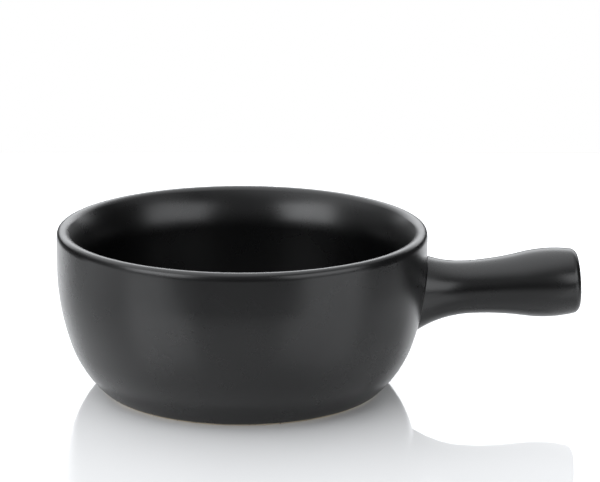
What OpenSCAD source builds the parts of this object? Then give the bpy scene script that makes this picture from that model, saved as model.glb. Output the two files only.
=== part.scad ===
// Fondue pot: a round stoneware bowl with a hollow stub handle, black glaze and a bare foot ring.
// The origin is on the bowl's axis, on the table; +X runs along the handle and +Z is up.
// Bowl and handle sizes are those of the glazed surface, and the clay lies one coat of glaze inside it.

/* [Bowl outside] */
// Diameter of the bowl at its upright wall
bowl_d = 220; // [180:1:280]
// Height of the bowl from the table to the top of its rim
bowl_h = 96; // [84:1:120]
// Height of the upright band of wall, counted from the top of the rim
upright_h = 22.5; // [14:0.5:30]
// How far the edge of the base lies in from the upright wall
base_inset = 26; // [18:0.5:31]
// Angle from upright at which the belly's long curve gives way to its tighter one
belly_turn = 18; // [12:1:26]
// Angle from upright of the wall where it reaches the table
foot_slope = 48.5; // [43:0.5:60]

/* [Rim and inside] */
// Outer rounding of the rim, from its crest to the shoulder
rim_outer_r = 3; // [2:0.1:4.5]
// Radius of the shoulder, which runs from the rim's outer rounding into the upright wall
shoulder_r = 9; // [6:0.5:14]
// Angle from upright at which the shoulder gives way to the rim's outer rounding
shoulder_turn = 19; // [10:1:26]
// Width of the level crest of the rim
rim_crest_w = 0.4; // [0.2:0.1:2]
// Inner rounding of the rim
rim_inner_r = 4.6; // [3:0.1:7]
// Angle from upright at which the rim's inner rounding gives way to the flare of the mouth
mouth_turn = 33; // [22:1:40]
// Radius of the flare of the mouth, from the rim down to the inner wall
mouth_r = 46; // [30:1:56]
// Lean of the inner wall from upright, just under the flare of the mouth
inner_lean = 3; // [1:0.5:6]
// Radius of the inner wall's long curve
inner_wall_r = 300; // [220:10:400]
// Radius of the curve from the inner wall to the floor
inner_corner_r = 30; // [26:1:54]
// Thickness of the floor
floor_t = 8; // [6:0.5:12]

/* [Foot] */
// Width of the bare ring that the pot stands on
foot_w = 8; // [5:0.5:14]
// Depth of the recess inside the foot ring
recess_depth = 2.5; // [1:0.5:4]
// Height of bare clay between the table and the lower edge of the glaze
bare_h = 0.8; // [0.4:0.1:2]

/* [Handle] */
// Reach of the handle from the upright wall to its end, along its own axis
handle_l = 92; // [72:1:120]
// Upward tilt of the handle
handle_tilt = 3.5; // [0:0.5:8]
// Depth of the handle's axis under the top of the rim, at the upright wall
handle_drop = 39; // [32:0.5:46]
// Diameter of the handle's neck
neck_d = 32; // [25:0.1:38]
// Distance of the neck from the upright wall
neck_at = 24.5; // [18:0.5:30]
// Lengthwise radius of the flare from the neck to the bowl
root_r = 65; // [50:1:90]
// How far the grip swells out beyond the neck, on each side
grip_swell = 4.7; // [2:0.1:7]
// Distance of the grip's fullest place from the handle's end
grip_from_end = 18.5; // [12:0.5:24]
// Share of the way from the neck to the grip at which the curve turns over
grip_turn = 0.68; // [0.4:0.01:0.8]
// Rounding around the handle's end
end_round = 5; // [3:0.5:8]
// Radius of the handle's domed end face
end_dome_r = 150; // [90:5:250]
// Wall thickness of the hollow handle
handle_wall = 5.5; // [4:0.5:8]
// Diameter of the vent hole under the handle
vent_d = 4; // [3:0.5:6]
// Distance of the vent hole from the upright wall
vent_at = 36; // [24:1:60]

/* [Joint and glaze] */
// Thickness of the fired slip that joins the handle to the bowl
slip_t = 1.2; // [0.6:0.1:2.5]
// Thickness of the coat of glaze
glaze_t = 0.4; // [0.3:0.05:0.8]

/* [Hidden] */
$fn = 96;
// Facets of the circles that the sections' arcs come from
arc_facets = 360;

clay_colour = "#c8bca6";
slip_colour = "#b9ab93";
glaze_colour = "#2c2c2e";
inside_colour = "#232325";

// Spare length by which a cutting shape passes the solid that it cuts
pass = 5;
// Overlap of two arcs at their common tangent, so that they cross cleanly
tuck = 0.004;

// The outer wall below its upright band is two arcs that meet at belly_turn.
// Their radii follow from the drop and the inset that they have to make good together.
bowl_r = bowl_d / 2;
upright_z = bowl_h - upright_h;
long_in = 1 - cos(belly_turn);
long_down = sin(belly_turn);
tight_in = cos(belly_turn) - cos(foot_slope);
tight_down = sin(foot_slope) - sin(belly_turn);
belly_det = long_in * tight_down - long_down * tight_in;
belly_r = (base_inset * tight_down - upright_z * tight_in) / belly_det;
heel_r = (long_in * upright_z - long_down * base_inset) / belly_det;
belly_c = [bowl_r - belly_r, upright_z];
heel_c = belly_c + (belly_r - heel_r) * heading(-belly_turn);
// Radius of the clay where it stands on the table, and of the recess inside the foot ring
foot_r = heel_c.x + sqrt(pow(heel_r - glaze_t, 2) - pow(heel_c.y, 2));
recess_r = foot_r - foot_w;

// The rim is a shoulder, an outer rounding, a crest and an inner rounding, and the mouth flares up to it,
// above the long hollow arc of the inner wall. A corner arc takes that wall to the floor.
shoulder_z = bowl_h - rim_outer_r - (shoulder_r - rim_outer_r) * sin(shoulder_turn);
shoulder_c = [bowl_r - shoulder_r, shoulder_z];
rim_outer_c = shoulder_c + (shoulder_r - rim_outer_r) * heading(shoulder_turn);
rim_inner_c = [rim_outer_c.x - rim_crest_w, bowl_h - rim_inner_r];
mouth_c = rim_inner_c + (mouth_r - rim_inner_r) * heading(-mouth_turn);
floor_z = recess_depth + floor_t;
inner_wall_c = mouth_c - (inner_wall_r + mouth_r) * heading(-inner_lean);
corner_z = floor_z + inner_corner_r;
corner_turn = asin((inner_wall_c.y - corner_z) / (inner_wall_r - inner_corner_r));
corner_c = inner_wall_c + (inner_wall_r - inner_corner_r) * heading(-corner_turn);
// The flare lies between two lines through its centre, given by their heights on the axis.
// On the upper one it runs into the rim's rounding, and the two coats of glaze on the bowl meet there.
flare_top = axis_crossing(inner_wall_c, mouth_c);
seam_top = axis_crossing(mouth_c, rim_inner_c);

// The handle is a turned shape, with x out from its axis and y along it from the upright wall.
// The neck's hollow arc and the grip's full arc share one tangent, on the line between their centres.
neck_r = neck_d / 2;
grip_r = neck_r + grip_swell;
grip_at = handle_l - grip_from_end;
grip_run = grip_at - neck_at;
arcs_r = (pow(grip_run, 2) + pow(grip_swell, 2)) / (2 * grip_swell);
neck_arc_r = grip_turn * arcs_r;
grip_arc_r = arcs_r - neck_arc_r;
root_c = [neck_r + root_r, neck_at];
neck_arc_c = [neck_r + neck_arc_r, neck_at];
grip_arc_c = [grip_r - grip_arc_r, grip_at];
grip_start = axis_crossing(neck_arc_c, grip_arc_c);
dome_c = [0, handle_l - end_dome_r];
end_c = outer_crossing(grip_arc_c, grip_arc_r - end_round, dome_c, end_dome_r - end_round);
handle_z = bowl_h - handle_drop;
// The turned shape starts inside the bowl's wall, and the bowl's own form trims it
root_start = -3 * pass;

// Unit vector at an angle from the first axis of a section
function heading(angle) = [cos(angle), sin(angle)];

// Height at which the line through two points of a section crosses its axis
function axis_crossing(p, q) = p.y - p.x * (q.y - p.y) / (q.x - p.x);

// Crossing of two circles that lies to the right, looking from the first centre to the second
function outer_crossing(p, rp, q, rq) =
    let (
        d = norm(q - p),
        along = (d * d + rp * rp - rq * rq) / (2 * d),
        across = sqrt(rp * rp - along * along),
        u = (q - p) / d
    )
    p + along * u + across * [-u.y, u.x];

// Disc whose edge is one arc of a section, larger by one overlap for each arc that it runs into
module disc(centre, radius, laps = 0) {
    translate(centre) circle(radius + laps * tuck, $fn = arc_facets);
}

// Section of the bowl's outer form, filled to the axis; grow moves the surface outwards
module outer_section(grow) {
    belly_end = heel_c + (heel_r + pass) * heading(-belly_turn);
    shoulder_end = shoulder_c + (shoulder_r + pass) * heading(shoulder_turn);
    square([recess_r, upright_z]);
    translate([0, upright_z]) square([bowl_r + grow, shoulder_z - upright_z]);
    translate([0, upright_z]) square([rim_outer_c.x, bowl_h + grow - upright_z]);
    disc(rim_outer_c, rim_outer_r + grow, laps = 2);
    intersection() {
        disc(shoulder_c, shoulder_r + grow, laps = 1);
        polygon([
            shoulder_c,
            [shoulder_c.x, upright_z],
            [bowl_r + pass, upright_z],
            [bowl_r + pass, shoulder_end.y],
            shoulder_end
        ]);
    }
    intersection() {
        disc(belly_c, belly_r + grow, laps = 1);
        polygon([
            [0, axis_crossing(belly_c, heel_c)],
            belly_end,
            [bowl_r + pass, belly_end.y],
            [bowl_r + pass, shoulder_z],
            [0, shoulder_z]
        ]);
    }
    intersection() {
        disc(heel_c, heel_r + grow, laps = 2);
        square([bowl_r, bowl_h]);
    }
}

// Section of the hollow up to the rim's inner rounding; grow moves its walls inwards
module hollow_section(grow) {
    corner_top = axis_crossing(inner_wall_c, corner_c);
    translate([0, floor_z + grow]) square([corner_c.x, corner_top - floor_z - grow]);
    intersection() {
        disc(corner_c, inner_corner_r - grow, laps = 2);
        square([bowl_r, bowl_h]);
    }
    intersection() {
        disc(inner_wall_c, inner_wall_r - grow, laps = 1);
        polygon([
            [0, corner_top],
            corner_c + (inner_corner_r + pass) * heading(-corner_turn),
            [bowl_r, bowl_h + pass],
            [0, bowl_h + pass]
        ]);
    }
    difference() {
        polygon([[0, flare_top], mouth_c, [mouth_c.x, bowl_h + pass], [0, bowl_h + pass]]);
        disc(mouth_c, mouth_r + grow, laps = 1);
    }
}

// Section of the open mouth above the hollow, rounded over the rim
module mouth_section(grow) {
    difference() {
        polygon([[0, seam_top], rim_inner_c, [rim_inner_c.x, seam_top]]);
        disc(rim_inner_c, rim_inner_r + grow, laps = 2);
    }
}

// Section of the bowl's wall and floor, without the recess under it
module wall_section(grow) {
    difference() {
        outer_section(grow);
        hollow_section(grow);
        mouth_section(grow);
    }
}

// The part of a section inside the bowl that lies below the rim's inner rounding
module below_seam() {
    polygon([[0, 0], [rim_inner_c.x, 0], rim_inner_c, [0, seam_top]]);
}

// Section of a plug that fills the recess under the bowl between two heights
module recess_section(low, high) {
    polygon([[0, low], [recess_r - low, low], [recess_r - high, high], [0, high]]);
}

// Half section of the handle out to its domed end, with a sharp edge; grow moves the surface outwards
module handle_section(grow) {
    difference() {
        polygon([
            [0, root_start],
            [root_c.x, root_start],
            [root_c.x, neck_at],
            neck_arc_c,
            [0, grip_start]
        ]);
        disc(root_c, root_r - grow, laps = 1);
        intersection() {
            disc(neck_arc_c, neck_arc_r - grow);
            translate([0, neck_at]) square([neck_arc_c.x, grip_start]);
        }
    }
    intersection() {
        disc(grip_arc_c, grip_arc_r + grow, laps = 1);
        disc(dome_c, end_dome_r + grow);
        square([neck_arc_c.x, handle_l + pass]);
    }
}

// Half section of the handle with its end rounded
module handle_outline(grow) {
    side = end_c - grip_arc_c;
    face = end_c - dome_c;
    reach = end_round + pass;
    difference() {
        handle_section(grow);
        polygon([
            end_c,
            end_c + reach * side / norm(side),
            end_c + [reach, reach],
            end_c + reach * face / norm(face)
        ]);
    }
    disc(end_c, end_round + grow, laps = 2);
}

// Half section of the handle's hollow tube of clay
module tube_section() {
    difference() {
        handle_outline(-glaze_t);
        handle_section(-glaze_t - handle_wall);
    }
}

// Places a turned shape on the handle's axis
module on_handle_axis() {
    translate([bowl_r, 0, handle_z]) rotate([0, 90 - handle_tilt, 0]) children();
}

// The bowl's outer form as a filled solid
module bowl_form(grow) {
    rotate_extrude() outer_section(grow);
}

// The handle's clay as a filled solid
module handle_form() {
    on_handle_axis() rotate_extrude() handle_outline(-glaze_t);
}

// The handle's clay as a tube that reaches into the bowl's wall
module handle_tube() {
    on_handle_axis() rotate_extrude() tube_section();
}

// The hole through the underside of the handle
module vent() {
    on_handle_axis() translate([0, 0, vent_at]) rotate([0, 90, 0]) cylinder(d = vent_d, h = grip_r + pass);
}

// Bare stoneware of the bowl, with its floor, its foot ring and the recess under it
module bowl() {
    color(clay_colour) rotate_extrude() difference() {
        wall_section(-glaze_t);
        recess_section(0, recess_depth + glaze_t);
    }
}

// Bare stoneware of the handle, hollow, with its mouth cut to the curve of the bowl
module handle() {
    color(clay_colour) difference() {
        handle_tube();
        bowl_form(slip_t - glaze_t);
        vent();
    }
}

// Ring of fired slip between the handle's mouth and the bowl's wall
module joining_slip() {
    color(slip_colour) difference() {
        intersection() {
            handle_tube();
            bowl_form(slip_t - glaze_t);
        }
        bowl_form(-glaze_t);
    }
}

// Glaze on the rim and on the outside of the bowl, down to the bare foot and around the handle's root
module outer_glaze() {
    color(glaze_colour) difference() {
        rotate_extrude() difference() {
            wall_section(0);
            wall_section(-glaze_t);
            square([bowl_r, bare_h]);
            intersection() {
                hollow_section(-2 * glaze_t);
                below_seam();
            }
        }
        handle_form();
    }
}

// Glaze on the inner wall and the floor, up to the rim's inner rounding
module inner_glaze() {
    color(inside_colour) rotate_extrude() difference() {
        intersection() {
            hollow_section(-glaze_t);
            below_seam();
        }
        hollow_section(0);
    }
}

// Glaze on the handle, from the bowl's glaze to the end
module handle_glaze() {
    color(glaze_colour) difference() {
        on_handle_axis() rotate_extrude() difference() {
            handle_outline(0);
            handle_outline(-glaze_t);
        }
        bowl_form(0);
        vent();
    }
}

// Glaze on the roof of the recess, inside the foot ring
module base_glaze() {
    color(glaze_colour) rotate_extrude() recess_section(recess_depth, recess_depth + glaze_t);
}

bowl();
handle();
joining_slip();
outer_glaze();
inner_glaze();
handle_glaze();
base_glaze();
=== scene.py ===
"""Black glazed stoneware fondue pot: its looks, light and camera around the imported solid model.

The frame has its origin on the bowl's axis at the table, with +X along the handle and +Z up. Sizes of the
bowl and the handle are in millimetres. The meshes and the studio are in metres.
"""

import logging
import math
from dataclasses import dataclass, field
from enum import Enum
from functools import partial
from typing import Callable

import bpy
import numpy as np
from mathutils import Matrix, Vector


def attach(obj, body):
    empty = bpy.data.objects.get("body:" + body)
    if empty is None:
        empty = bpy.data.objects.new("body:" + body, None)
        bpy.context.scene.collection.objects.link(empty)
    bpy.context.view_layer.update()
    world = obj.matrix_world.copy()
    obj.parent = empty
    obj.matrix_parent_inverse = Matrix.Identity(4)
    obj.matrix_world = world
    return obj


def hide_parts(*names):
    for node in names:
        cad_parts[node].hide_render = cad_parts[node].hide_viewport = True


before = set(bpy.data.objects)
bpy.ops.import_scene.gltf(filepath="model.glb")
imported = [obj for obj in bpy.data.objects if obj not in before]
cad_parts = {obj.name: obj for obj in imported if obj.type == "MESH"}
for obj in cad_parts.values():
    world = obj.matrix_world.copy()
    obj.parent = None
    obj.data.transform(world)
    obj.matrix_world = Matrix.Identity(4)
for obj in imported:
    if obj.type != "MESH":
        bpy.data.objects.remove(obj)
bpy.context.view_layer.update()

Array = np.ndarray
Place = Callable[[Array, Array], Array]
Colour = tuple[float, float, float, float]
Socket = bpy.types.NodeSocket
MM = 0.001
THIN_MARK = "glaze_thin"
LOG = logging.getLogger("fondue_pot")


class Slot(Enum):
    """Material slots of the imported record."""

    GLAZE = "glaze"
    LINER_GLAZE = "liner_glaze"


# Sections

FULL = 1
HOLLOW = -1


def heading(angle: float) -> Array:
    """Unit vector of a section at an angle in degrees from its first axis."""
    turn = math.radians(angle)
    return np.array([math.cos(turn), math.sin(turn)])


@dataclass(frozen=True)
class Arc:
    """Stretch of a circle in a section, walked from one angle to another.

    Attributes:
        centre: Centre of the circle.
        radius: Radius of the circle.
        start: Angle in degrees at which the walk starts.
        end: Angle in degrees at which it ends.
        side: FULL if the outward side is away from the centre, HOLLOW if it is towards it.
        steps: Number of chords that a mesh takes along the stretch.
    """

    centre: Array
    radius: float
    start: float
    end: float
    side: int
    steps: int

    @property
    def length(self) -> float:
        """Length of the stretch."""
        return self.radius * math.radians(abs(self.end - self.start))

    def at(self, share: Array) -> tuple[Array, Array]:
        """Centre plus radius times the unit vector at an angle that runs evenly from start to end.

        Args:
            share: Shares of the way, from 0 to 1.

        Returns:
            Points and outward unit normals, one row each.
        """
        turn = np.radians(self.start + (self.end - self.start) * share)
        out = np.stack([np.cos(turn), np.sin(turn)], -1)
        return self.centre + self.radius * out, self.side * out


@dataclass(frozen=True)
class Straight:
    """Straight stretch of a section, with its outward side to the right of the walk."""

    start: Array
    end: Array
    steps: int

    @property
    def length(self) -> float:
        """Length of the stretch."""
        return float(np.linalg.norm(self.end - self.start))

    def at(self, share: Array) -> tuple[Array, Array]:
        """Start plus share times the way to the end.

        Args:
            share: Shares of the way, from 0 to 1.

        Returns:
            Points and outward unit normals, one row each.
        """
        way = self.end - self.start
        normal = np.array([way[1], -way[0]]) / self.length
        return self.start + share[:, None] * way, np.broadcast_to(normal, (len(share), 2))


@dataclass(frozen=True)
class Section:
    """Line of stretches in a plane. Its parameter grows by one along each stretch."""

    stretches: tuple[Arc | Straight, ...]

    def lines(self) -> Array:
        """Parameters of the grid lines, evenly spaced along each stretch by its own number of steps."""
        rows = [k + np.arange(s.steps) / s.steps for k, s in enumerate(self.stretches)]
        return np.concatenate([*rows, [len(self.stretches)]])

    def at(self, b: Array) -> tuple[Array, Array]:
        """Points and outward normals at parameters of the section.

        Args:
            b: Parameters: the whole part picks the stretch, the rest is the share of the way along it.

        Returns:
            Points and outward unit normals, one row each.
        """
        which = np.clip(np.floor(b).astype(int), 0, len(self.stretches) - 1)
        points, normals = np.zeros((len(b), 2)), np.zeros((len(b), 2))
        for k, stretch in enumerate(self.stretches):
            here = which == k
            points[here], normals[here] = stretch.at(b[here] - k)
        return points, normals


# Nets and meshes

HALVINGS = 50


def halve(inside: Array, outside: Array, is_out: Callable[[Array], Array]) -> Array:
    """Edge between two values on each of many lines, found by halving the stretch between them.

    Args:
        inside: Values inside the edge.
        outside: Values outside it.
        is_out: Function from values to whether each lies outside.

    Returns:
        Values at the edge.
    """
    for _ in range(HALVINGS):
        middle = (inside + outside) / 2
        out = is_out(middle)
        inside, outside = np.where(out, inside, middle), np.where(out, middle, outside)
    return outside


@dataclass(frozen=True)
class Hole:
    """Hole in a net, inside a window of its grid lines.

    Attributes:
        rows: First and last grid line of the window around the surface.
        columns: First and last grid line of the window along the surface.
        centre: Parameters of a point inside the hole.
        outside: Function of points that is above zero outside the hole and below zero in it.
        rings: Number of rings of faces from the window to the hole's edge.
    """

    rows: tuple[int, int]
    columns: tuple[int, int]
    centre: tuple[float, float]
    outside: Callable[[Array], Array]
    rings: int = 6


@dataclass
class Net:
    """Grid of faces in the two parameters of a surface that closes on itself in the first one.

    Attributes:
        a: First parameter of each vertex.
        b: Second parameter of each vertex.
        faces: Blocks of faces, each row the vertices of one face.
        first: Vertices of the first row.
        last: Vertices of the last row, none if it is a pole.
        edge: Vertices of the hole's edge, none without a hole.
    """

    a: Array
    b: Array
    faces: list[Array]
    first: Array
    last: Array
    edge: Array

    @classmethod
    def over(cls, a_lines: Array, b_lines: Array, place: Place, pole: bool, hole: Hole | None) -> "Net":
        """Joins neighbouring grid lines to quads, with a fan at a pole and rings of quads around a hole.

        A ring's vertices lie on straight lines, in the parameters, from the hole's centre to the vertices
        around the window. The hole's edge on each line is found by halving.

        Args:
            a_lines: First parameters, round the surface, without the one that closes it.
            b_lines: Second parameters, along the surface.
            place: Function from both parameters to points, which finds the hole's edge.
            pole: Whether the last line along the surface is a single point.
            hole: The hole, or None.

        Returns:
            The net, with the vertices of its first and last rows and of the hole's edge in order.
        """
        na, nb = len(a_lines), len(b_lines) - int(pole)
        i, j = np.meshgrid(np.arange(na), np.arange(nb), indexing="ij")
        a, b = a_lines[i].ravel(), b_lines[j].ravel()
        cell_i, cell_j = (g.ravel() for g in np.meshgrid(np.arange(na), np.arange(nb - 1), indexing="ij"))
        keep = np.ones(len(cell_i), bool)
        if hole:
            (i0, i1), (j0, j1) = hole.rows, hole.columns
            keep = ~((cell_i >= i0) & (cell_i < i1) & (cell_j >= j0) & (cell_j < j1))
        ci, cj, ni = cell_i[keep], cell_j[keep], (cell_i[keep] + 1) % na
        faces = [np.stack([ci * nb + cj, ni * nb + cj, ni * nb + cj + 1, ci * nb + cj + 1], -1)]
        edge = np.zeros(0, int)
        if hole:
            up, along = np.arange(i0, i1), np.arange(j0, j1)
            ii = np.concatenate([up, np.full(len(along), i1), up[::-1] + 1, np.full(len(along), i0)])
            jj = np.concatenate([np.full(len(up), j0), along, np.full(len(up), j1), along[::-1] + 1])
            edge, (ca, cb) = ii * nb + jj, hole.centre
            to_a, to_b = a[edge] - ca, b[edge] - cb
            far = halve(
                np.zeros(len(edge)),
                np.ones(len(edge)),
                lambda share: hole.outside(place(ca + share * to_a, cb + share * to_b)) > 0,
            )
            for k in range(1, hole.rings + 1):
                share = 1 - (1 - far) * k / hole.rings
                inner = len(a) + np.arange(len(edge))
                a, b = np.append(a, ca + share * to_a), np.append(b, cb + share * to_b)
                faces.append(np.stack([edge, np.roll(edge, -1), np.roll(inner, -1), inner], -1))
                edge = inner
        first, last = np.arange(na) * nb, np.arange(na) * nb + nb - 1
        if pole:
            tip = len(a)
            a, b = np.append(a, 0.0), np.append(b, b_lines[-1])
            faces.append(np.stack([last, np.roll(last, -1), np.full(na, tip)], -1))
            last = np.zeros(0, int)
        return cls(a, b, faces, first, last, edge)


def unit_rows(rows: Array) -> Array:
    """Rows at length one, and rows of nothing as they are."""
    return rows / np.maximum(np.linalg.norm(rows, axis=1, keepdims=True), 1e-30)


class Shell:
    """Closed mesh in the making, in millimetres, with the normals of its faces' corners."""

    def __init__(self) -> None:
        """Starts with nothing."""
        self.points: Array = np.zeros((0, 3))
        self.faces: list[Array] = []
        self.normals: list[Array] = []
        self.marks: Array = np.zeros(0)

    def sheet(self, net: Net, place: Place, outward: bool, marks: Array) -> Array:
        """Lays a net on a surface.

        A vertex's normal is the cross product of the surface's two slopes, each taken between two points
        close by on either side. At a pole it is the mean of the fan's face normals. Vertices that no face
        uses are left out.

        Args:
            net: The net in the surface's parameters.
            place: Function from both parameters to points.
            outward: Whether the surface's own side, to the right of its walk, is the outside.
            marks: One value for each vertex, kept as an attribute.

        Returns:
            The mesh's number for each vertex of the net.
        """
        step = 1e-5
        points = place(net.a, net.b)
        along_a = place(net.a + step, net.b) - place(net.a - step, net.b)
        along_b = place(net.a, net.b + step) - place(net.a, net.b - step)
        normals = unit_rows(np.cross(along_a, along_b))
        for fan in (block for block in net.faces if block.shape[1] == 3):
            corner = points[fan]
            flat = np.cross(corner[:, 1] - corner[:, 0], corner[:, 2] - corner[:, 0]).sum(0)
            normals[fan[0, 2]] = flat / np.linalg.norm(flat)
        used = np.zeros(len(points), bool)
        for block in net.faces:
            used[block.ravel()] = True
        number = np.cumsum(used) - 1 + len(self.points)
        self.points = np.concatenate([self.points, points[used]])
        self.marks = np.concatenate([self.marks, marks[used]])
        for block in net.faces:
            turned = block if outward else block[:, ::-1]
            self.faces.append(number[turned])
            self.normals.append((normals if outward else -normals)[turned])
        return number

    def strip(self, near: Array, far: Array) -> None:
        """Joins two closed rows of vertices by a strip of flat quads.

        Args:
            near: Vertex numbers along the first row, in the strip's own walk.
            far: Vertex numbers of the second row beside them.
        """
        quads = np.stack([near, np.roll(near, -1), np.roll(far, -1), far], -1)
        corner = self.points[quads]
        flat = unit_rows(np.cross(corner[:, 2] - corner[:, 0], corner[:, 3] - corner[:, 1]))
        self.faces.append(quads)
        self.normals.append(np.repeat(flat[:, None], 4, 1))

    def make(self, name: str) -> bpy.types.Object:
        """Puts the mesh into the scene, in metres.

        Args:
            name: Name of the piece.

        Returns:
            The new object.
        """
        mesh = bpy.data.meshes.new(name)
        faces = [row for block in self.faces for row in block.tolist()]
        mesh.from_pydata((self.points * MM).tolist(), [], faces)
        mesh.shade_smooth()
        mesh.normals_split_custom_set(np.concatenate([n.reshape(-1, 3) for n in self.normals]).tolist())
        layer = mesh.attributes.new(THIN_MARK, "FLOAT", "POINT")
        layer.data.foreach_set("value", self.marks.astype(np.float32))
        piece = bpy.data.objects.new(name, mesh)
        bpy.context.scene.collection.objects.link(piece)
        return piece


# The bowl and the handle

Bells = tuple[tuple[float, float, float], ...]
SLOPE_STEP = 0.001
RIPPLE_WAVES = np.array([[0.11, 0.05, 0.09], [-0.06, 0.12, 0.14], [0.15, -0.09, 0.04], [0.03, 0.17, -0.12]])
RIPPLE_PHASES = np.array([0.4, 2.1, 3.7, 5.2])
RIPPLE_MIDDLE = 0.65
RIPPLE_SWING = 0.35


def hand_ripple(points: Array) -> Array:
    """Slow unevenness of a hand-dipped coat: the mean of a few sine waves through space, from 0.3 to 1.

    Args:
        points: Points in millimetres.

    Returns:
        One value for each point.
    """
    return RIPPLE_MIDDLE + RIPPLE_SWING * np.sin(points @ RIPPLE_WAVES.T + RIPPLE_PHASES).mean(-1)


def bells(b: Array, places: Bells) -> Array:
    """Sum of bell curves along a section, each with its own middle, width and height."""
    curves = (top * np.exp(-(((b - middle) / width) ** 2)) for middle, width, top in places)
    return sum(curves, np.zeros(len(b)))


def glaze_coat(
    name: str,
    lines: tuple[Array, Array],
    surface: Callable[[float, Array, Array], Array],
    glaze: float,
    thin_places: Bells = (),
    pole: bool = False,
    hole: Hole | None = None,
) -> bpy.types.Object:
    """Coat of glaze between a surface and the clay under it, closed along its edges.

    Args:
        name: Name of the piece.
        lines: Grid lines in both parameters.
        surface: Function from a depth and both parameters to points.
        glaze: Thickness of the coat.
        thin_places: Where the coat runs thin along the surface.
        pole: Whether the surface ends in a single point.
        hole: Hole in the coat, or None.

    Returns:
        The piece.
    """
    shell, rows = Shell(), []
    for depth in (0.0, glaze):
        place = partial(surface, depth)
        net = Net.over(*lines, place, pole, hole)
        number = shell.sheet(net, place, depth == 0, bells(net.b, thin_places if depth == 0 else ()))
        rows.append([number[ids] for ids in (net.first[::-1], net.last, net.edge)])
    for near, far in zip(*rows):
        shell.strip(near, far)
    return shell.make(name)


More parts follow.
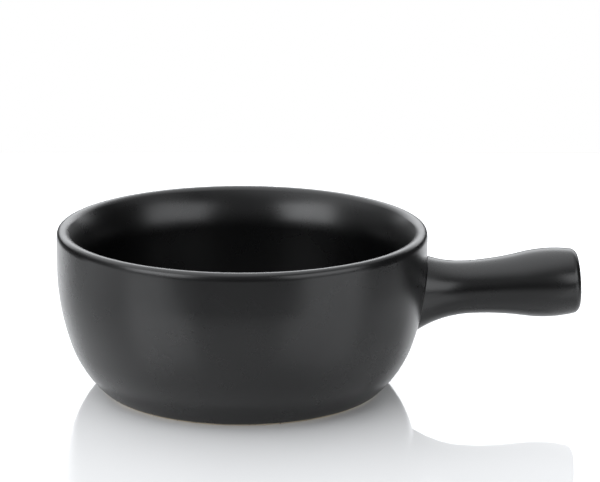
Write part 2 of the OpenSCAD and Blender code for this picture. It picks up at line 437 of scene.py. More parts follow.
@dataclass
class Bowl:
    """Bowl of the pot. Sizes are those of the glazed surface, one coat of glaze outside the clay.

    The sizes follow the sections up the outside, over the rim and down the inside. Turns, slopes and leans
    are in degrees. A wave of the glaze's lower edge has a size, a count and a phase. A thin place has its
    middle and width along the outer section and its height, most on the rim's outer rounding.
    """

    diameter: float = 220.0
    height: float = 96.0
    upright: float = 22.5
    base_inset: float = 26.0
    belly_turn: float = 18.0
    foot_slope: float = 48.5
    shoulder: float = 9.0
    shoulder_turn: float = 19.0
    rim_outer: float = 3.0
    rim_crest: float = 0.4
    rim_inner: float = 4.6
    mouth: float = 46.0
    mouth_turn: float = 33.0
    inner_lean: float = 3.0
    inner_wall: float = 300.0
    inner_corner: float = 30.0
    floor_height: float = 10.5
    bare: float = 0.8
    glaze: float = 0.4
    edge_round: float = 0.35
    edge_drop: float = 0.7
    edge_steps: tuple[float, ...] = (0.25, 0.5, 0.85, 1.3, 1.9, 2.6)
    edge_waves: tuple[tuple[float, int, float], ...] = ((0.10, 5, 0.7), (0.07, 13, 2.0), (0.05, 31, 0.0))
    ripple: float = 0.05
    hole_margin: float = 8.0
    thin_places: Bells = ((4.6, 0.35, 1.0), (6.2, 0.3, 0.35))
    around: int = 360
    outer: Section = field(init=False)
    inner: Section = field(init=False)

    def __post_init__(self) -> None:
        """Works out the arcs of the outside and the inside, each tangent to the next."""
        radius, drop = self.diameter / 2, self.height - self.upright
        turn, slope = math.radians(self.belly_turn), math.radians(self.foot_slope)
        pull = np.array([
            [1 - math.cos(turn), math.cos(turn) - math.cos(slope)],
            [math.sin(turn), math.sin(slope) - math.sin(turn)],
        ])
        belly_r, heel_r = np.linalg.solve(pull, [self.base_inset, drop])
        belly_c = np.array([radius - belly_r, drop])
        heel_c = belly_c + (belly_r - heel_r) * heading(-self.belly_turn)
        bare_turn = -math.degrees(math.asin((heel_c[1] - self.bare) / heel_r))
        inset = self.shoulder - self.rim_outer
        shoulder_z = self.height - self.rim_outer - inset * math.sin(math.radians(self.shoulder_turn))
        shoulder_c = np.array([radius - self.shoulder, shoulder_z])
        rim_c = shoulder_c + inset * heading(self.shoulder_turn)
        crest = rim_c + np.array([0, self.rim_outer])
        lip = crest - np.array([self.rim_crest, 0])
        lip_c = lip - np.array([0, self.rim_inner])
        mouth_c = lip_c + (self.mouth - self.rim_inner) * heading(-self.mouth_turn)
        wall_c = mouth_c - (self.inner_wall + self.mouth) * heading(-self.inner_lean)
        rise = wall_c[1] - self.floor_height - self.inner_corner
        corner_turn = math.degrees(math.asin(rise / (self.inner_wall - self.inner_corner)))
        corner_c = wall_c + (self.inner_wall - self.inner_corner) * heading(-corner_turn)
        floor_edge, floor_middle = (np.array([x, self.floor_height]) for x in (corner_c[0], 0))
        self.outer = Section((
            Arc(heel_c, heel_r, bare_turn, -self.belly_turn, FULL, steps=26),
            Arc(belly_c, belly_r, -self.belly_turn, 0, FULL, steps=30),
            Straight(np.array([radius, drop]), np.array([radius, shoulder_z]), steps=12),
            Arc(shoulder_c, self.shoulder, 0, self.shoulder_turn, FULL, steps=8),
            Arc(rim_c, self.rim_outer, self.shoulder_turn, 90, FULL, steps=14),
            Straight(crest, lip, steps=2),
            Arc(lip_c, self.rim_inner, 90, 180 - self.mouth_turn, FULL, steps=14),
        ))
        self.inner = Section((
            Arc(mouth_c, self.mouth, 180 - self.mouth_turn, 180 - self.inner_lean, FULL, steps=22),
            Arc(wall_c, self.inner_wall, -self.inner_lean, -corner_turn, HOLLOW, steps=24),
            Arc(corner_c, self.inner_corner, -corner_turn, -90, HOLLOW, steps=30),
            Straight(floor_edge, floor_middle, steps=24),
        ))

    def place(self, section: Section, depth: float, a: Array, b: Array) -> Array:
        """Points of a section turned about the bowl's axis.

        A point lies at the section's radius, along the unit vector at the first parameter in radians, and
        at the section's height. It is moved in along the normal by the depth, or on the surface by the
        slow ripple. At the glaze's lower edge, where the outer section starts, the coat rounds off
        exponentially, and its line wavers by a sum of sine waves.

        Args:
            section: The section.
            depth: Depth under the glazed surface, 0 for the surface itself.
            a: First parameters.
            b: Second parameters.

        Returns:
            Points, one row each.
        """
        out = np.stack([np.cos(a), np.sin(a)], -1)
        first, at_edge, moved = section.stretches[0].length, section is self.outer, b
        if at_edge:
            waver = sum(size * np.sin(count * a + phase) for size, count, phase in self.edge_waves)
            moved = np.where(b < 1, b + (1 - b) * waver / first, b)
        flat, normal = section.at(moved)
        deep = np.full(len(a), depth)
        if depth == 0:
            deep = self.ripple * hand_ripple(np.concatenate([flat[:, :1] * out, flat[:, 1:]], 1))
            if at_edge:
                deep = deep + self.edge_drop * self.glaze * np.exp(-b * first / self.edge_round)
        flat = flat - deep[:, None] * normal
        return np.concatenate([flat[:, :1] * out, flat[:, 1:]], 1)

    def level(self, z: float) -> float:
        """Parameter of the outer section at a height.

        Args:
            z: Height between the foot and the shoulder.

        Returns:
            The parameter.
        """
        heel, belly, upright = self.outer.stretches[:3]
        if z >= upright.start[1]:
            return 2 + (z - upright.start[1]) / upright.length
        for k, arc in enumerate((heel, belly)):
            turn = math.degrees(math.asin((z - arc.centre[1]) / arc.radius))
            if turn <= arc.end:
                return k + (turn - arc.start) / (arc.end - arc.start)
        return 2.0

    def outside_coat(self, handle: "Handle") -> bpy.types.Object:
        """Coat of glaze on the outside and over the rim, open where the handle's clay stands on the bowl.

        Args:
            handle: The handle that the coat goes round.

        Returns:
            The piece.
        """
        a_lines = -math.pi + 2 * math.pi * np.arange(self.around) / self.around
        edge_lines = self.edge_round * np.array(self.edge_steps) / self.outer.stretches[0].length
        b_lines = np.sort(np.concatenate([self.outer.lines(), edge_lines]))
        reach = float(handle.radius(np.zeros(1), 0)[0]) + self.hole_margin
        low, high = (self.level(handle.axis_height + side * reach) for side in (-1, 1))
        columns = tuple(int(j) for j in np.searchsorted(b_lines, [low, high]))
        half_turn = reach / (self.diameter / 2)
        rows = tuple(int(i) for i in np.searchsorted(a_lines, [-half_turn, half_turn]))
        hole = Hole(rows, columns, (0.0, self.level(handle.axis_height)), handle.clear_of_clay)
        lines, surface = (a_lines, b_lines), partial(self.place, self.outer)
        return glaze_coat("outside_coat", lines, surface, self.glaze, self.thin_places, hole=hole)

    def inside_coat(self) -> bpy.types.Object:
        """Coat of glaze on the inner wall and the floor, closed at the middle of the floor.

        Returns:
            The piece.
        """
        lines = 2 * math.pi * np.arange(self.around) / self.around, self.inner.lines()
        return glaze_coat("inside_coat", lines, partial(self.place, self.inner), self.glaze, pole=True)

    def beyond_wall(self, points: Array) -> Array:
        """How far points lie outside the glazed wall with its ripple, measured level, below the rim.

        Args:
            points: Points in millimetres.

        Returns:
            Distances, below zero inside.
        """
        heel, belly = self.outer.stretches[:2]
        z = points[:, 2]
        on_heel = heel.centre[0] + np.sqrt(np.maximum(heel.radius**2 - (z - heel.centre[1]) ** 2, 0))
        on_belly = belly.centre[0] + np.sqrt(np.maximum(belly.radius**2 - (z - belly.centre[1]) ** 2, 0))
        turn = belly.centre[1] + belly.radius * math.sin(math.radians(belly.start))
        wall = np.where(z < turn, on_heel, np.where(z < belly.centre[1], on_belly, self.diameter / 2))
        return np.hypot(points[:, 0], points[:, 1]) - wall + self.ripple * hand_ripple(points)


@dataclass
class Handle:
    """Waisted stub handle, a turned shape on a tilted axis. Sizes are those of the glazed surface.

    Places along the axis are measured from the upright wall, and the root's span goes from inside that wall
    to outside it. The bead of glaze at the root takes a share of the side's parameter, and the ripple fades
    in over a share of the rest.
    """

    reach: float = 92.0
    tilt: float = 3.5
    axis_height: float = 57.0
    root_at: float = 110.0
    neck: float = 16.0
    neck_at: float = 24.5
    flare: float = 65.0
    swell: float = 4.7
    grip_from_end: float = 18.5
    grip_turn: float = 0.68
    end_round: float = 5.0
    end_dome: float = 150.0
    vent: float = 4.0
    vent_at: float = 36.0
    vent_rows: int = 9
    vent_columns: int = 4
    vent_rings: int = 4
    root_span: tuple[float, float] = (-14.0, 6.0)
    glaze: float = 0.4
    pool: float = 0.7
    bead_share: float = 0.1
    bead_steps: int = 8
    side_steps: int = 72
    ripple: float = 0.05
    ripple_fade: float = 0.125
    thin_places: Bells = ((1.5, 0.4, 1.0),)
    around: int = 192
    grip_at: float = field(init=False)
    grip_arc: float = field(init=False)
    grip_c: Array = field(init=False)
    neck_arc: float = field(init=False)
    start_sine: float = field(init=False)
    end_sine: float = field(init=False)
    end: Section = field(init=False)

    def __post_init__(self) -> None:
        """Works out the arcs of the neck, the grip and the end, each tangent to the next."""
        self.grip_at = self.reach - self.grip_from_end
        run = self.grip_at - self.neck_at
        both = (run**2 + self.swell**2) / (2 * self.swell)
        self.neck_arc = self.grip_turn * both
        self.grip_arc = both - self.neck_arc
        self.grip_c = np.array([self.neck + self.swell - self.grip_arc, self.grip_at])
        dome_c = np.array([0, self.reach - self.end_dome])
        inner_grip, inner_dome = self.grip_arc - self.end_round, self.end_dome - self.end_round
        edge_c = self.crossing(self.grip_c, inner_grip, dome_c, inner_dome)
        side, face = edge_c - self.grip_c, edge_c - dome_c
        side_turn = math.degrees(math.atan2(side[1], side[0]))
        face_turn = math.degrees(math.atan2(face[1], face[0]))
        self.start_sine = (self.grip_turn - 1) * run / self.grip_arc
        self.end_sine = math.sin(math.radians(side_turn))
        self.end = Section((
            Arc(edge_c, self.end_round, side_turn, face_turn, FULL, steps=16),
            Arc(dome_c, self.end_dome, face_turn, 90, FULL, steps=14),
        ))

    @staticmethod
    def crossing(p: Array, rp: float, q: Array, rq: float) -> Array:
        """Crossing of two circles that lies to the right, looking from the second centre to the first.

        Args:
            p: First centre.
            rp: First radius.
            q: Second centre.
            rq: Second radius.

        Returns:
            The point.
        """
        gap = float(np.linalg.norm(q - p))
        along = (gap**2 + rp**2 - rq**2) / (2 * gap)
        across = math.sqrt(rp**2 - along**2)
        way = (q - p) / gap
        return p + along * way + across * np.array([-way[1], way[0]])

    def frame_axes(self) -> tuple[Array, Array, Array, Array]:
        """The handle's own axes.

        Returns:
            Start of its axis, then its direction, its upper side and its right-hand side as unit vectors.
        """
        turn = math.radians(self.tilt)
        along = np.array([math.cos(turn), 0, math.sin(turn)])
        up = np.array([-math.sin(turn), 0, math.cos(turn)])
        return np.array([self.root_at, 0, self.axis_height]), along, up, np.cross(along, up)

    def on_grip(self, sine: float, depth: float) -> float:
        """Distance along the axis of the grip's point whose normal has this sine, at a depth."""
        return self.grip_at + (self.grip_arc - depth) * sine

    def radius(self, y: Array, depth: float) -> Array:
        """Radius of the turned shape at a distance along its axis, up to the end's rounding.

        The flare and the neck are hollow arcs that touch the neck's circle, and the grip is a full arc that
        the neck's arc runs into. Under the surface the hollow arcs are larger by the depth, and the full
        one is smaller.

        Args:
            y: Distances from the upright wall.
            depth: Depth under the glazed surface.

        Returns:
            Radii.
        """
        hollow = np.where(y < self.neck_at, self.flare, self.neck_arc)
        waist = self.neck + hollow - np.sqrt((hollow + depth) ** 2 - (y - self.neck_at) ** 2)
        full = np.maximum((self.grip_arc - depth) ** 2 - (y - self.grip_at) ** 2, 0)
        return np.where(y < self.on_grip(self.start_sine, depth), waist, self.grip_c[0] + np.sqrt(full))

    def local(self, points: Array) -> tuple[Array, Array, Array]:
        """Distance along the axis, offset to the upper side and offset to the side, of points."""
        start, along, up, side = self.frame_axes()
        return (points - start) @ along, (points - start) @ up, (points - start) @ side

    def clear_of_clay(self, points: Array) -> Array:
        """How far points lie from the handle's clay, measured square to its axis; below zero inside it."""
        y, high, wide = self.local(points)
        return np.hypot(high, wide) - self.radius(y, self.glaze)

    def clear_of_vent(self, points: Array) -> Array:
        """How far points lie from the vent hole's wall; below zero in the hole."""
        y, _, wide = self.local(points)
        return np.hypot(y - self.vent_at, wide) - self.vent / 2

    def turned(self, a: Array, x: Array, y: Array) -> Array:
        """Points turned about the handle's axis.

        Args:
            a: Angles from the upper side.
            x: Distances from the axis.
            y: Distances along the axis.

        Returns:
            Points, one row each.
        """
        start, along, up, side = self.frame_axes()
        out = np.cos(a)[:, None] * up + np.sin(a)[:, None] * side
        return start + y[:, None] * along + x[:, None] * out

    def wall(self, bowl: Bowl, a: Array, depth: float) -> Array:
        """Distance along the axis at which each line round the handle leaves the bowl, found by halving.

        Args:
            bowl: The bowl that the handle stands on.
            a: Angles from the upper side.
            depth: Depth under the glazed surface, 0 for the bead on the surface itself.

        Returns:
            Distances from the upright wall.
        """
        wide = self.pool if depth == 0 else 0.0
        inside, outside = (np.full(len(a), y) for y in self.root_span)
        return halve(
            inside,
            outside,
            lambda y: bowl.beyond_wall(self.turned(a, self.radius(y, depth) + wide, y)) > 0,
        )

    def place(self, bowl: Bowl, depth: float, a: Array, b: Array) -> Array:
        """Points of the outline turned about the handle's axis, from the bowl's wall to the end's middle.

        The second parameter runs from 0 at the wall to 1 at the end's rounding, with its first share in the
        bead of glaze that pools in the corner, and then on along the end. The bead is a quarter circle that
        starts square to the axis and ends along the handle.

        Args:
            bowl: The bowl that the handle stands on.
            depth: Depth under the glazed surface, 0 for the surface itself.
            a: First parameters, the angles from the upper side.
            b: Second parameters.

        Returns:
            Points, one row each.
        """
        pool = self.pool if depth == 0 else 0.0
        from_wall = self.wall(bowl, a, depth)
        bead = np.clip(b / self.bead_share, 0, 1) * self.pool
        rest = np.clip((b - self.bead_share) / (1 - self.bead_share), 0, 1)
        y = from_wall + bead + rest * (self.on_grip(self.end_sine, depth) - from_wall - self.pool)
        x = self.radius(y, depth) + pool - np.sqrt(np.maximum(pool**2 - (pool - bead) ** 2, 0))
        flat, normal = self.end.at(np.clip(b - 1, 0, len(self.end.stretches)))
        on_side = (b <= 1)[:, None]
        flat = np.where(on_side, np.stack([x, y], -1), flat - depth * normal)
        if depth == 0:
            climb = self.radius(y + SLOPE_STEP, 0) - self.radius(y - SLOPE_STEP, 0)
            square = unit_rows(np.stack([np.ones(len(a)), -climb / (2 * SLOPE_STEP)], -1))
            fade = np.clip(rest / self.ripple_fade, 0, 1)
            worn = self.ripple * hand_ripple(self.turned(a, *flat.T)) * fade
            flat = flat - worn[:, None] * np.where(on_side, square, normal)
        return self.turned(a, *flat.T)

    def coat(self, bowl: Bowl) -> bpy.types.Object:
        """Coat of glaze on the handle, with a bead where it meets the bowl and the vent hole underneath.

        Args:
            bowl: The bowl that the handle stands on.

        Returns:
            The piece.
        """
        a_lines = 2 * math.pi * np.arange(self.around) / self.around
        bead_lines = self.bead_share * np.arange(self.bead_steps) / self.bead_steps
        side_lines = self.bead_share + (1 - self.bead_share) * np.arange(self.side_steps) / self.side_steps
        b_lines = np.concatenate([bead_lines, side_lines, 1 + self.end.lines()])
        root = self.wall(bowl, np.array([math.pi]), 0)[0] + self.pool
        share = (self.vent_at - root) / (self.on_grip(self.end_sine, 0) - root)
        vent = (math.pi, self.bead_share + (1 - self.bead_share) * share)
        row, column = (int(np.searchsorted(lines, at)) for lines, at in zip((a_lines, b_lines), vent))
        rows = row - self.vent_rows, row + self.vent_rows
        columns = column - self.vent_columns, column + self.vent_columns
        hole = Hole(rows, columns, vent, self.clear_of_vent, self.vent_rings)
        lines, surface = (a_lines, b_lines), partial(self.place, bowl)
        return glaze_coat("handle_coat", lines, surface, self.glaze, self.thin_places, True, hole)


# Finishes

FLOAT = "NodeSocketFloat"
VECTOR = "NodeSocketVector"
WHITE = (1, 1, 1, 1)
MIX_FIRST = 6
MIX_SECOND = 7
MIX_RESULT = 2
NOISE_SPAN = (0.3, 0.7)
PEEL_WEIGHT = 0.8
GRAIN_WEIGHT = 0.18
PINHOLE_WEIGHT = 0.1


class Tree:
    """Node tree in the making."""

    def __init__(self, tree: bpy.types.NodeTree) -> None:
        """Empties the tree."""
        self.tree = tree
        tree.nodes.clear()

    def add(self, kind: str, inputs: dict | None = None, **settings: object) -> bpy.types.Node:
        """Adds a node.

        Args:
            kind: Type of the node.
            inputs: Values or output sockets for its inputs, by name or number.
            settings: The node's own properties.

        Returns:
            The node.
        """
        node = self.tree.nodes.new(kind)
        for name, value in settings.items():
            setattr(node, name, value)
        for name, value in (inputs or {}).items():
            if isinstance(value, Socket):
                self.tree.links.new(value, node.inputs[name])
            else:
                node.inputs[name].default_value = value
        return node

    def math(self, how: str, first: object, second: object) -> Socket:
        """Output of a Math node on two values or sockets."""
        return self.add("ShaderNodeMath", {0: first, 1: second}, operation=how).outputs[0]

    def noise(self, where: Socket, scale: float, detail: float, roughness: float = 0.5) -> Socket:
        """Value of a noise texture."""
        inputs = {"Vector": where, "Scale": scale, "Detail": detail, "Roughness": roughness}
        return self.add("ShaderNodeTexNoise", inputs).outputs[0]

    def cells(self, where: Socket, scale: float) -> Socket:
        """Distance to the middle of the nearest cell of a Voronoi texture."""
        return self.add("ShaderNodeTexVoronoi", {"Vector": where, "Scale": scale}).outputs["Distance"]

    def ramp(
        self, value: Socket, start: float, full: float, low: object = 0.0, high: float = 1.0, **how: str
    ) -> Socket:
        """Value mapped from the range of start and full to that of low and high."""
        inputs = {"Value": value, "From Min": start, "From Max": full, "To Min": low, "To Max": high}
        return self.add("ShaderNodeMapRange", inputs, **how).outputs[0]

    def mix(self, factor: Socket, first: object, second: object) -> Socket:
        """Colour between two colours."""
        inputs = {"Factor": factor, MIX_FIRST: first, MIX_SECOND: second}
        return self.add("ShaderNodeMix", inputs, data_type="RGBA").outputs[MIX_RESULT]

    def bump(self, height: Socket, distance: float) -> Socket:
        """Normal of a surface whose height is up to a distance in metres."""
        inputs = {"Height": height, "Strength": 1.0, "Distance": distance}
        return self.add("ShaderNodeBump", inputs).outputs[0]

    def effect(self, shared: "SharedEffect", **inputs: Socket) -> bpy.types.NodeOutputs:
        """Outputs of a shared effect, laid out in the piece's own coordinates."""
        inputs["Vector"] = self.add("ShaderNodeTexCoord").outputs["Object"]
        return self.add("ShaderNodeGroup", inputs, node_tree=shared.group()).outputs

    def principled(self, inputs: dict[str, object]) -> None:
        """Ends a material's tree in a Principled shader."""
        shader = self.add("ShaderNodeBsdfPrincipled", inputs)
        self.add("ShaderNodeOutputMaterial", {"Surface": shader.outputs[0]})


class SharedEffect(Enum):
    """Effects that more than one finish uses, each one node group."""

    GLAZE_SKIN = "Glaze skin"
    CLAY_GRAIN = "Clay grain"

    def group(self) -> bpy.types.NodeTree:
        """Finds the effect's node group, or builds it when it is first asked for.

        Returns:
            The node group.
        """
        found = bpy.data.node_groups.get(self.value)
        if found:
            return found
        made = bpy.data.node_groups.new(self.value, "ShaderNodeTree")
        (glaze_skin if self is SharedEffect.GLAZE_SKIN else clay_grain)(made)
        return made


def sockets(group: bpy.types.NodeTree, way: str, names: dict[str, str]) -> None:
    """Makes a group's sockets on one side.

    Args:
        group: The node group.
        way: INPUT or OUTPUT.
        names: Socket types by name.
    """
    for name, kind in names.items():
        group.interface.new_socket(name=name, in_out=way, socket_type=kind)


def glaze_skin(group: bpy.types.NodeTree) -> None:
    """Skin of a satin glaze: slow mottling, a fine peel with rare pinholes, and a mask of thin places.

    Args:
        group: The empty node group.
    """
    sockets(group, "INPUT", {"Vector": VECTOR, "Thin": FLOAT})
    sockets(group, "OUTPUT", {"Mottle": FLOAT, "Height": FLOAT, "Worn": FLOAT})
    tree = Tree(group)
    given = tree.add("NodeGroupInput").outputs
    where = given["Vector"]
    mottle = tree.noise(where, scale=38.0, detail=4.0, roughness=0.55)
    peel = tree.noise(where, scale=420.0, detail=2.0, roughness=0.4)
    grain = tree.noise(where, scale=2600.0, detail=1.0)
    pinhole = tree.ramp(tree.cells(where, scale=130.0), start=0.02, full=0.07)
    fine = tree.math("MULTIPLY", grain, GRAIN_WEIGHT)
    rough = tree.math("ADD", tree.math("MULTIPLY", peel, PEEL_WEIGHT), fine)
    height = tree.math("ADD", rough, tree.math("MULTIPLY", pinhole, PINHOLE_WEIGHT))
    worn = tree.math("MULTIPLY", given["Thin"], tree.ramp(mottle, *NOISE_SPAN))
    tree.add("NodeGroupOutput", {"Mottle": mottle, "Height": height, "Worn": worn})


def clay_grain(group: bpy.types.NodeTree) -> None:
    """Grain of bare fired clay: slow clouds, dark specks of iron and a sandy height.

    Args:
        group: The empty node group.
    """
    sockets(group, "INPUT", {"Vector": VECTOR})
    sockets(group, "OUTPUT", {"Cloud": FLOAT, "Speck": FLOAT, "Height": FLOAT})
    tree = Tree(group)
    where = tree.add("NodeGroupInput").outputs["Vector"]
    cloud = tree.noise(where, scale=60.0, detail=5.0)
    sand = tree.noise(where, scale=1400.0, detail=3.0)
    speck = tree.ramp(tree.cells(where, scale=420.0), start=0.12, full=0.2, low=1.0, high=0.0)
    tree.add("NodeGroupOutput", {"Cloud": cloud, "Speck": speck, "Height": sand})


def blank(name: str) -> tuple[bpy.types.Material, Tree]:
    """Makes a material without nodes.

    Args:
        name: Name of the material.

    Returns:
        The material and its empty node tree.
    """
    material = bpy.data.materials.new(name)
    material.use_nodes = True
    return material, Tree(material.node_tree)


@dataclass(frozen=True)
class GlazeFinish:
    """Satin black glaze.

    Attributes:
        name: Name of the material.
        colour: Colour of the full coat.
        thin_colour: Colour where the coat runs thin over an edge.
        roughness: Lowest and highest roughness over the mottling.
        peel: Height of the peel in metres.
        ior: Index of refraction of the gloss.
    """

    name: str
    colour: Colour = (0.0017, 0.0017, 0.0018, 1)
    thin_colour: Colour = (0.0045, 0.0044, 0.0043, 1)
    roughness: tuple[float, float] = (0.26, 0.30)
    peel: float = 0.000005
    ior: float = 1.45

    def build(self) -> bpy.types.Material:
        """Makes the material.

        Returns:
            The material.
        """
        material, tree = blank(self.name)
        thin = tree.add("ShaderNodeAttribute", attribute_name=THIN_MARK).outputs["Fac"]
        skin = tree.effect(SharedEffect.GLAZE_SKIN, Thin=thin)
        tree.principled({
            "Base Color": tree.mix(skin["Worn"], self.colour, self.thin_colour),
            "Roughness": tree.ramp(skin["Mottle"], *NOISE_SPAN, *self.roughness),
            "Normal": tree.bump(skin["Height"], self.peel),
            "IOR": self.ior,
        })
        return material


@dataclass(frozen=True)
class ClayFinish:
    """Bare fired clay.

    Attributes:
        name: Name of the material.
        pale: Colour of the lighter clouds.
        dark: Colour of the darker clouds.
        speck: Colour of the specks.
        grain: Height of the sandy grain in metres.
        roughness: Roughness of the clay.
    """

    name: str
    pale: Colour
    dark: Colour
    speck: Colour = (0.12, 0.075, 0.045, 1)
    grain: float = 0.00008
    roughness: float = 0.88

    def build(self) -> bpy.types.Material:
        """Makes the material.

        Returns:
            The material.
        """
        material, tree = blank(self.name)
        grain = tree.effect(SharedEffect.CLAY_GRAIN)
        cloud = tree.mix(grain["Cloud"], self.dark, self.pale)
        tree.principled({
            "Base Color": tree.mix(grain["Speck"], cloud, self.speck),
            "Roughness": self.roughness,
            "Normal": tree.bump(grain["Height"], self.grain),
        })
        return material


# The studio


@dataclass(frozen=True)
class Softbox:
    """Rectangular lamp that faces a point.

    Attributes:
        name: Name of the lamp.
        azimuth: Angle in degrees from the camera's side, to the right.
        elevation: Angle in degrees above the table.
        distance: Distance from the aim.
        width: Width of the lamp.
        height: Height of the lamp.
        glow: Brightness of the lamp's face, where 1 is white.
        mirrored: Whether the lamp is seen in the gloss of the glaze and the table.
        aim: Height of the point that it faces.
    """

    name: str
    azimuth: float
    elevation: float
    distance: float
    width: float
    height: float
    glow: float
    mirrored: bool = True
    aim: float = 0.06

    def build(self, colour: Colour) -> None:
        """Makes the lamp, hidden from the camera.

        Args:
            colour: Colour of its light.
        """
        turn, rise = math.radians(self.azimuth), math.radians(self.elevation)
        way = Vector((math.sin(turn) * math.cos(rise), -math.cos(turn) * math.cos(rise), math.sin(rise)))
        lamp = bpy.data.lights.new(self.name, "AREA")
        lamp.shape, lamp.size, lamp.size_y = "RECTANGLE", self.width, self.height
        lamp.energy = math.pi * self.glow * self.width * self.height
        lamp.color = colour[:3]
        body = bpy.data.objects.new(self.name, lamp)
        body.location = Vector((0, 0, self.aim)) + way * self.distance
        body.rotation_mode = "QUATERNION"
        body.rotation_quaternion = (-way).to_track_quat("-Z", "Y")
        body.visible_camera, body.visible_glossy = False, self.mirrored
        bpy.context.scene.collection.objects.link(body)


@dataclass(frozen=True)
class Glow:
    """Bright part of the surround.

    Attributes:
        name: What glows there.
        middle: Direction of its middle.
        start: Cosine of the angle from its middle at which it starts.
        full: Cosine of the angle within which it has its full brightness.
        brightness: The full brightness, where 1 is white.
        rise: Sines of the elevations at which it starts and at which it is full.
    """

    name: str
    middle: tuple[float, float, float]
    start: float
    full: float
    brightness: float
    rise: tuple[float, float]


@dataclass
class Studio:
    """White table, soft lamps, a bright surround and the camera.

    Attributes:
        table: Left, right, front and back edge of the table.
        table_colour: Colour of the table.
        table_roughness: Roughness of the table's gloss.
        table_ior: Index of refraction of the table's gloss.
        light: Colour of all light.
        glows: Bright parts of the surround.
        dim: Brightness of the rest of the surround.
        lamps: The lamps.
        lens: Focal length of the camera in millimetres.
        sensor: Width of the camera's sensor in millimetres.
        camera_at: Place of the camera.
        yaw: Turn of the camera to the right, in degrees.
        pitch: Tilt of the camera downwards, in degrees.
        roll: Turn of the camera about its line of sight, in degrees.
    """

    table: tuple[float, float, float, float] = (-0.43, 0.42, -0.31, 0.65)
    table_colour: Colour = (0.68, 0.68, 0.68, 1)
    table_roughness: float = 0.03
    table_ior: float = 2.2
    light: Colour = (0.980, 0.996, 1.018, 1)
    glows: tuple[Glow, ...] = (
        Glow("ceiling", (-0.30, 0.20, 0.933), 0.30, 1.0, 2.4, (0.2, 0.7)),
        Glow("backdrop", (0.0, 1.0, 0.0), 0.5, 0.9, 3.1, (0.14, 0.22)),
        Glow("front_wall", (0.0, -0.81, 0.586), 0.8, 1.0, 0.43, (-1.0, 0.0)),
        Glow("right_wall", (0.78, 0.0, 0.63), 0.75, 0.95, 0.9, (0.45, 0.65)),
        Glow("left_wall", (-0.93, -0.1, 0.36), 0.6, 0.95, 0.44, (0.05, 0.25)),
        Glow("front_floor", (0.0, -1.0, 0.0), 0.7, 0.95, 0.6, (0.0, -0.2)),
    )
    dim: float = 0.06
    lamps: tuple[Softbox, ...] = (
        Softbox("front_left", -51.5, 22, 1.6, 1.13, 0.80, 4.8),
        Softbox("front_right", 50, 22, 1.6, 1.39, 0.80, 3.1),
        Softbox("low_left", -75, -14, 1.6, 2.00, 0.75, 1.4),
        Softbox("low_right", 57, -14, 1.6, 1.20, 0.75, 2.1),
        Softbox("left_fill", -80, 35, 1.8, 1.50, 1.20, 1.0, False),
    )
    lens: float = 132.4
    sensor: float = 36.0
    camera_at: tuple[float, float, float] = (0.0, -1.2713, 0.4126)
    yaw: float = 1.542
    pitch: float = 14.371
    roll: float = 0.40

    def floor(self) -> None:
        """Makes the table top, a level rectangle with a gloss."""
        left, right, front, back = self.table
        corners = [(left, front, 0), (right, front, 0), (right, back, 0), (left, back, 0)]
        mesh = bpy.data.meshes.new("table_top")
        mesh.from_pydata(corners, [], [(0, 1, 2, 3)])
        top = bpy.data.objects.new("table_top", mesh)
        bpy.context.scene.collection.objects.link(top)
        material, tree = blank("Table top")
        tree.principled({
            "Base Color": self.table_colour,
            "Roughness": self.table_roughness,
            "IOR": self.table_ior,
        })
        mesh.materials.append(material)

    def surround(self) -> None:
        """Makes the surround: plain white to the camera, and dim with glows to everything else.

        A glow is its full brightness, times a smooth step over the cosine of a direction's angle from its
        middle, times a smooth step over the direction's rise. The brightest glow counts.
        """
        world = bpy.data.worlds.new("Surround")
        world.use_nodes = True
        bpy.context.scene.world = world
        tree = Tree(world.node_tree)
        incoming = tree.add("ShaderNodeNewGeometry").outputs["Incoming"]
        brightness: object = self.dim
        for glow in self.glows:
            part: object = glow.brightness
            for axis, span in ((glow.middle, (glow.start, glow.full)), ((0, 0, 1), glow.rise)):
                inputs = {0: incoming, 1: tuple(-v for v in axis)}
                cosine = tree.add("ShaderNodeVectorMath", inputs, operation="DOT_PRODUCT").outputs["Value"]
                step = tree.ramp(cosine, *span, interpolation_type="SMOOTHSTEP", label=glow.name)
                part = tree.math("MULTIPLY", part, step)
            brightness = tree.math("MAXIMUM", brightness, part)
        seen = tree.add("ShaderNodeLightPath").outputs["Is Camera Ray"]
        strength = tree.ramp(seen, start=0.0, full=1.0, low=brightness, high=1.0)
        colour = tree.mix(seen, self.light, WHITE)
        shine = tree.add("ShaderNodeBackground", {"Color": colour, "Strength": strength})
        tree.add("ShaderNodeOutputWorld", {"Surface": shine.outputs[0]})

    def camera(self) -> None:
        """Makes the camera, turned by yaw, then pitched down and rolled about its own line of sight."""
        yaw, pitch, roll = (math.radians(v) for v in (self.yaw, self.pitch, self.roll))
        sight = Vector((math.sin(yaw) * math.cos(pitch), math.cos(yaw) * math.cos(pitch), -math.sin(pitch)))
        right = Vector((math.cos(yaw), -math.sin(yaw), 0))
        up = right.cross(sight)
        right, up = (
            math.cos(roll) * right + math.sin(roll) * up,
            -math.sin(roll) * right + math.cos(roll) * up,
        )
        data = bpy.data.cameras.new("camera")
        data.lens, data.sensor_width = self.lens, self.sensor
        view = bpy.data.objects.new("camera", data)
        turned = Matrix((right, up, -sight)).transposed().to_4x4()
        view.matrix_world = Matrix.Translation(self.camera_at) @ turned
        bpy.context.scene.collection.objects.link(view)
        bpy.context.scene.camera = view

    def build(self) -> None:
        """Makes the table, the lamps, the surround and the camera."""
        self.camera()
        self.floor()
        self.surround()
        for lamp in self.lamps:
            lamp.build(self.light)
        bpy.context.scene.view_settings.view_transform = "Standard"


# The pot


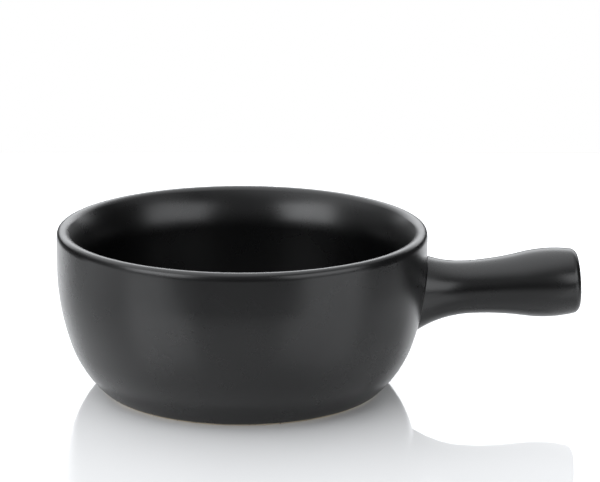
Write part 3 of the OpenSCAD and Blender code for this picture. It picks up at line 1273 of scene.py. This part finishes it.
@dataclass
class FonduePot:
    """The whole pot: the coats of glaze that show as new pieces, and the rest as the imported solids."""

    bowl: Bowl = field(default_factory=Bowl)
    handle: Handle = field(default_factory=Handle)
    outside: GlazeFinish = GlazeFinish("Satin black glaze")
    # The inside coat's colour is painted darker than the outside glaze's: painted shade for the inside of
    # the bowl.
    liner_with_painted_shade: GlazeFinish = GlazeFinish("Satin black liner glaze with painted shade", (0.0006, 0.0006, 0.0007, 1))
    clay: ClayFinish = ClayFinish("Bare stoneware", (0.62, 0.55, 0.43, 1), (0.47, 0.40, 0.30, 1))
    slip: ClayFinish = ClayFinish("Fired slip", (0.50, 0.42, 0.31, 1), (0.40, 0.33, 0.24, 1))

    def coat(self, piece: bpy.types.Object, material: bpy.types.Material, node: str, slot: Slot) -> None:
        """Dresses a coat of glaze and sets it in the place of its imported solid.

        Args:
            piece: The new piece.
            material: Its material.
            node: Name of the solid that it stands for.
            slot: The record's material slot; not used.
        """
        piece.data.materials.append(material)
        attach(piece, "root")
        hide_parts(node)
        LOG.info("%s: %d faces, stands for %s", piece.name, len(piece.data.polygons), node)

    def dress(self, node: str, material: bpy.types.Material) -> None:
        """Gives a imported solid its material.

        Args:
            node: Name of the solid.
            material: The material.
        """
        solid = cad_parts[node]
        solid.data.materials.clear()
        solid.data.materials.append(material)
        LOG.info("%s: packed solid in %s", node, material.name)

    def build(self) -> None:
        """Makes and dresses every piece."""
        glaze, liner_with_painted_shade = self.outside.build(), self.liner_with_painted_shade.build()
        clay, slip = self.clay.build(), self.slip.build()
        self.coat(self.bowl.outside_coat(self.handle), glaze, "outer_glaze", Slot.GLAZE)
        # The inside coat takes the darker liner finish, which is painted shade inside the bowl.
        self.coat(self.bowl.inside_coat(), liner_with_painted_shade, "inner_glaze", Slot.LINER_GLAZE)
        self.coat(self.handle.coat(self.bowl), glaze, "handle_glaze", Slot.GLAZE)
        self.dress("base_glaze", glaze)
        self.dress("bowl", clay)
        self.dress("handle", clay)
        self.dress("joining_slip", slip)


def main() -> None:
    """Builds the studio and the pot."""
    logging.basicConfig(level=logging.INFO, format="%(name)s: %(message)s")
    Studio().build()
    FonduePot().build()


if __name__ == "__main__":
    main()
